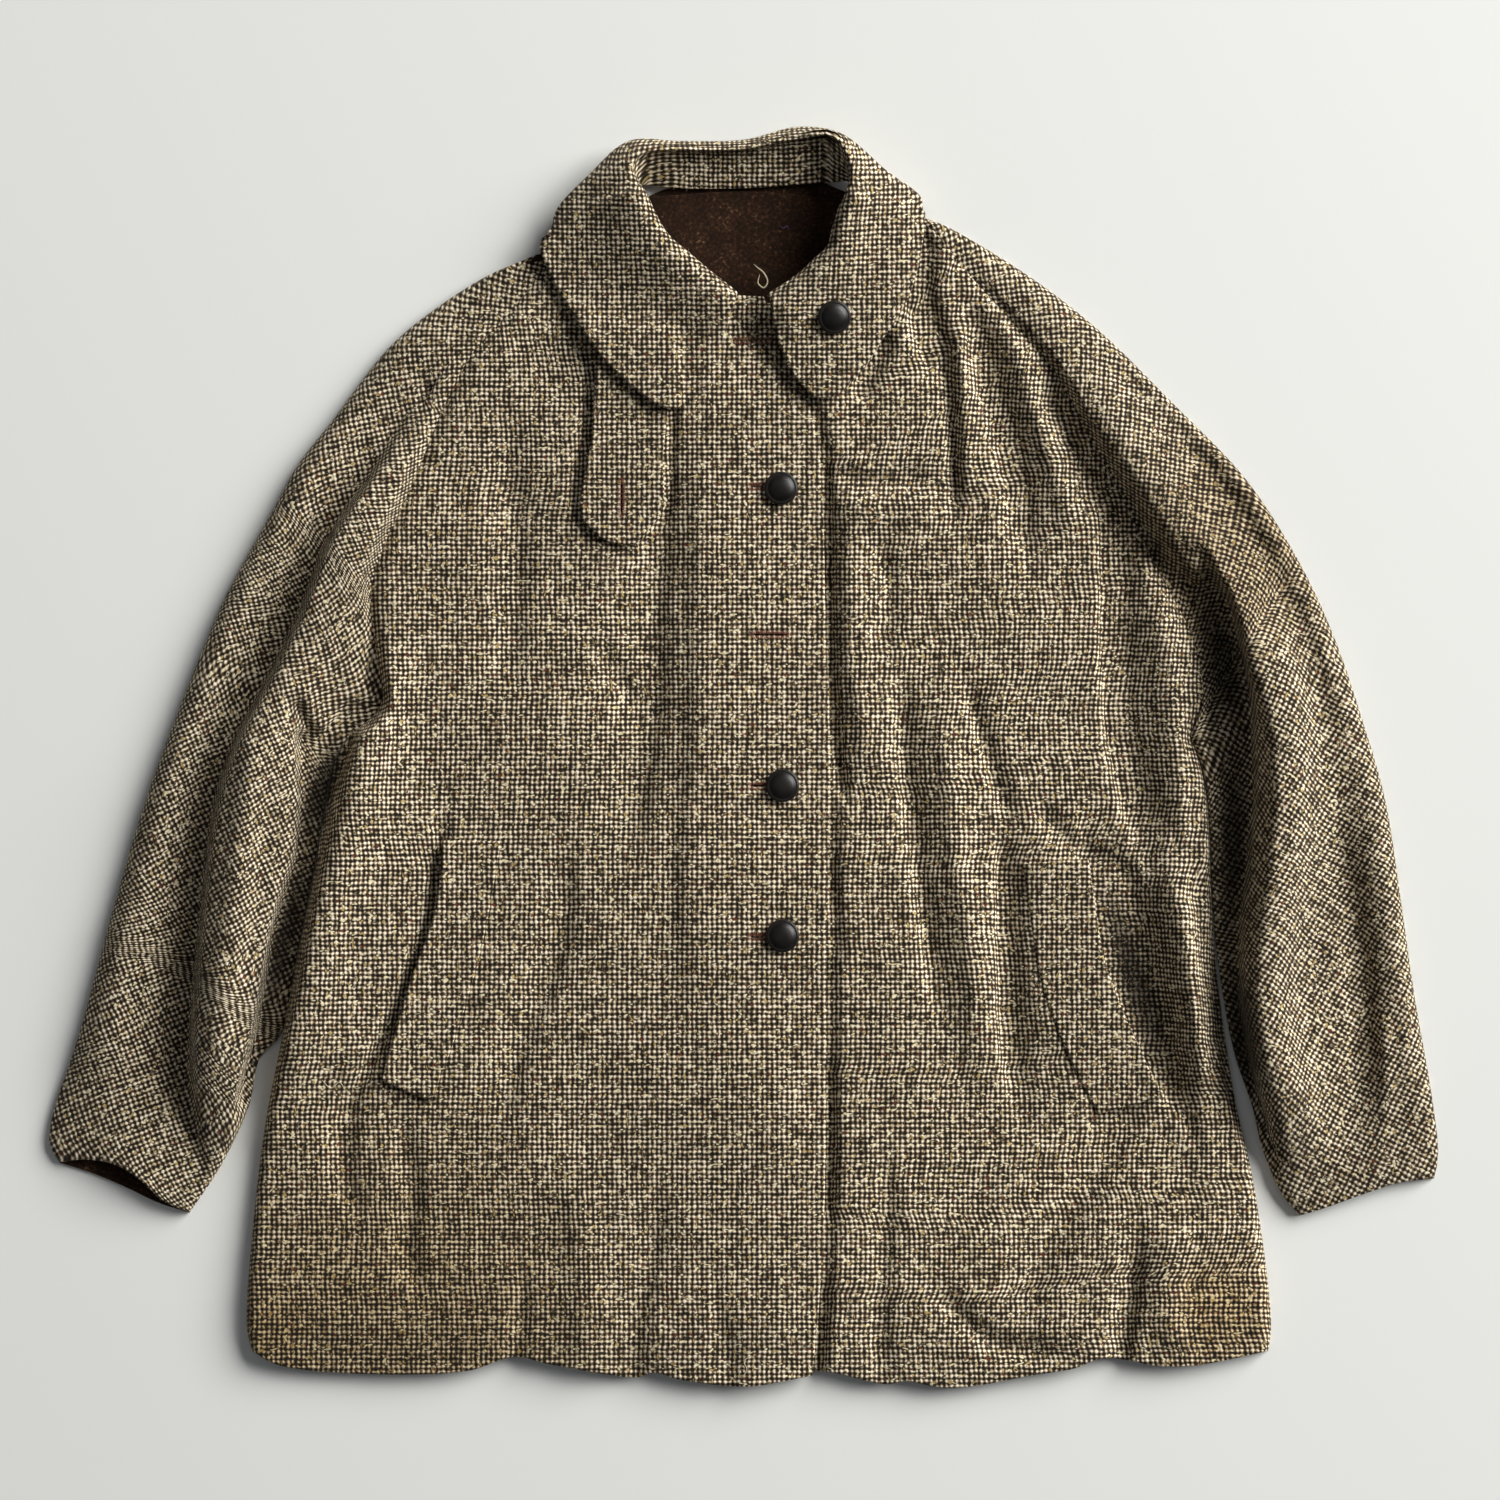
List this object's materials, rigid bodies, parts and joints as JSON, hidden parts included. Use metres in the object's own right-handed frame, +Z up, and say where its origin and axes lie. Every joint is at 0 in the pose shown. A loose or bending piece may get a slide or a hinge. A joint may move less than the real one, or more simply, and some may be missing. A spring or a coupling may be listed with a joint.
{
  "type": "reversible wool coat laid flat",
  "caption": "Hip-length reversible tweed coat laid flat on its back, raglan sleeves, buttoned front, turned collar with a throat tab and slanted pocket welts.",
  "frame": {"origin": "middle of the coat's extent in plan, on the surface that it lies on", "axes": "+X to the wearer's left, from cuff to cuff; +Y from the hem to the collar; +Z up from the surface, out of the coat's front"},
  "size_m": [0.969, 0.8783, 0.0427],
  "materials": {
    "tweed": "woven wool tweed, soft nap",
    "inner_wool": "felted wool",
    "button": "dark moulded leather, soft sheen"
  },
  "bodies": {
    "root": {"back": "tweed", "inner_back": "inner_wool", "front_right": "tweed", "front_left": "tweed", "right_sleeve_front": "tweed", "right_sleeve_back": "tweed", "left_sleeve_front": "tweed", "left_sleeve_back": "tweed", "right_sleeve_inside": "inner_wool", "collar": "tweed", "throat_tab": "tweed", "right_pocket_welt": "tweed", "left_pocket_welt": "tweed", "front_button_1": "button", "front_button_2": "button", "front_button_3": "button", "collar_button": "button"}
  },
  "joints": []
}
